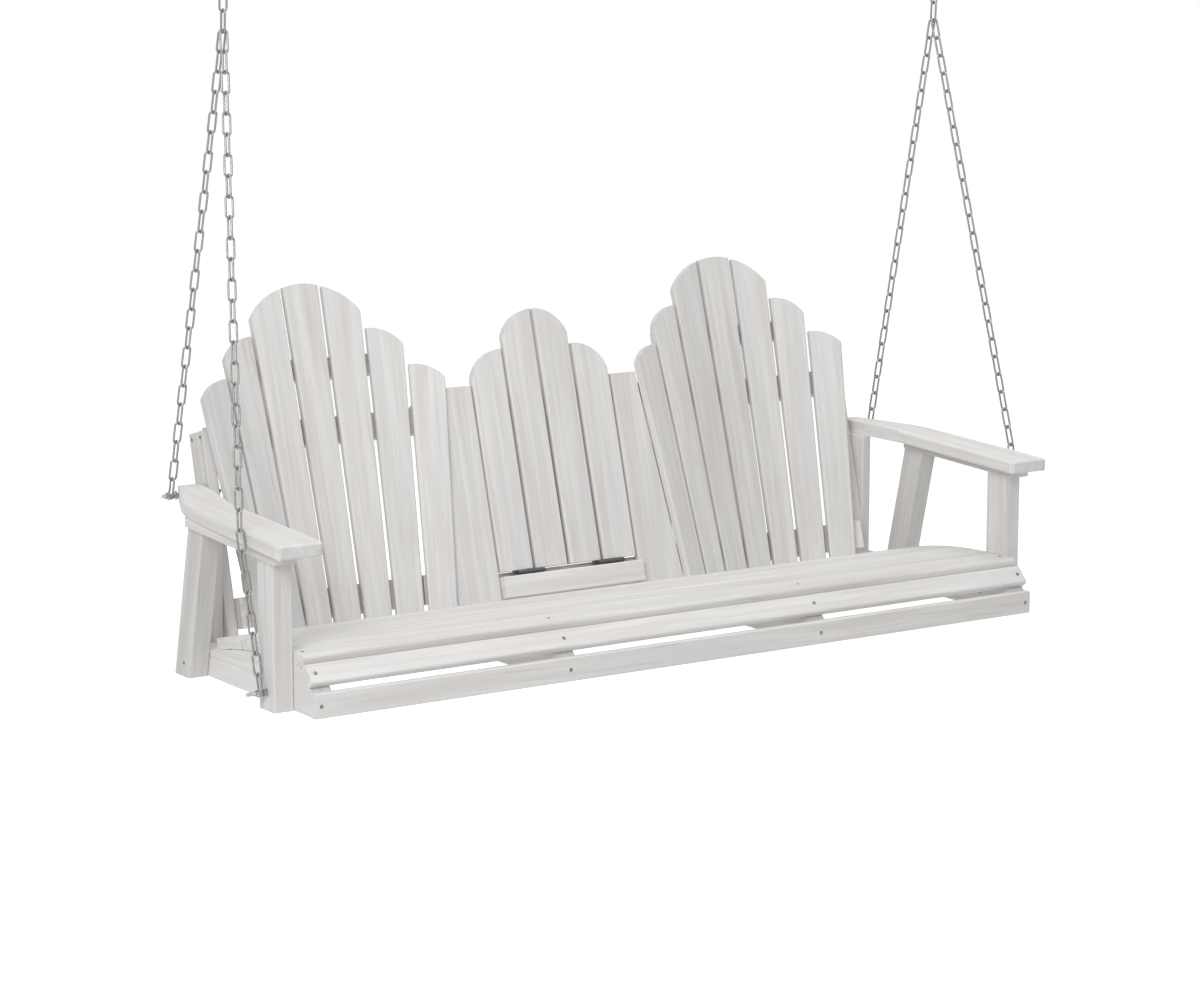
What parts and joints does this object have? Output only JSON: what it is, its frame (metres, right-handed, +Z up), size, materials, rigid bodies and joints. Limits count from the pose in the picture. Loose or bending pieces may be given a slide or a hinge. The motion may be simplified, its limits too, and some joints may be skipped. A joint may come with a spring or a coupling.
{
  "type": "hanging porch swing seat",
  "caption": "Hanging porch swing seat with two fanned, hollowed slat backs, broad arms and a centre console back that folds down as a table; hung on welded-link chains.",
  "frame": {"origin": "middle of the line on which the two top chain links are held, above the seat's middle", "axes": "+X to the right for someone who faces the front of the seat; +Y to the rear, towards the backs; +Z up"},
  "size_m": [1.997, 0.7644, 1.4472],
  "materials": {
    "boards": "whitewashed, wood-grained, satin",
    "chain_steel": "zinc-coated, dull",
    "bright_steel": "stainless, satin"
  },
  "bodies": {
    "support": {"top_links": "chain_steel"},
    "hanger": {"hanger_links": "chain_steel"},
    "seat": {"apron": "boards", "waterfall_slat": "boards", "front_seat_slat": "boards", "seat_slats": "boards", "left_end_stringer": "boards", "right_end_stringer": "boards", "left_mid_stringer": "boards", "right_mid_stringer": "boards", "left_front_post": "boards", "right_front_post": "boards", "left_rear_leg": "boards", "right_rear_leg": "boards", "left_back_brace": "boards", "right_back_brace": "boards", "left_arm_cleat": "boards", "right_arm_cleat": "boards", "left_arm": "boards", "right_arm": "boards", "left_end_upright": "boards", "right_end_upright": "boards", "left_inner_upright": "boards", "right_inner_upright": "boards", "left_lower_rail": "boards", "right_lower_rail": "boards", "left_middle_rail": "boards", "right_middle_rail": "boards", "left_upper_rail": "boards", "right_upper_rail": "boards", "left_fan_slat_1": "boards", "left_fan_slat_2": "boards", "left_fan_slat_3": "boards", "left_fan_slat_4": "boards", "left_fan_slat_5": "boards", "left_fan_slat_6": "boards", "left_fan_slat_7": "boards", "right_fan_slat_1": "boards", "right_fan_slat_2": "boards", "right_fan_slat_3": "boards", "right_fan_slat_4": "boards", "right_fan_slat_5": "boards", "right_fan_slat_6": "boards", "right_fan_slat_7": "boards", "left_side_slat": "boards", "right_side_slat": "boards", "hinge_board": "boards", "console_rails": "boards", "hinge_fixed_leaves": "bright_steel", "hinge_pins": "bright_steel", "hanging_bolts": "bright_steel", "hanging_nuts": "bright_steel", "hanging_washers": "bright_steel", "left_chains": "chain_steel", "right_chains": "chain_steel"},
    "console": {"console_slats": "boards", "console_battens": "boards", "table_boards": "boards", "hinge_moving_leaves": "bright_steel"}
  },
  "joints": [
    {"name": "swing", "type": "hinge", "parent": "support", "child": "hanger", "pos_m": [0, 0, -0.0411], "axis": [1, 0, 0], "range_deg": [-20, 20]},
    {"name": "rock", "type": "hinge", "parent": "hanger", "child": "seat", "pos_m": [0, 0, -0.12175], "axis": [1, 0, 0], "range_deg": [-8, 8]},
    {"name": "console_fold", "type": "hinge", "parent": "seat", "child": "console", "pos_m": [0, 0.07185, -1.31262], "axis": [1, 0, 0], "range_deg": [0, 107]}
  ]
}
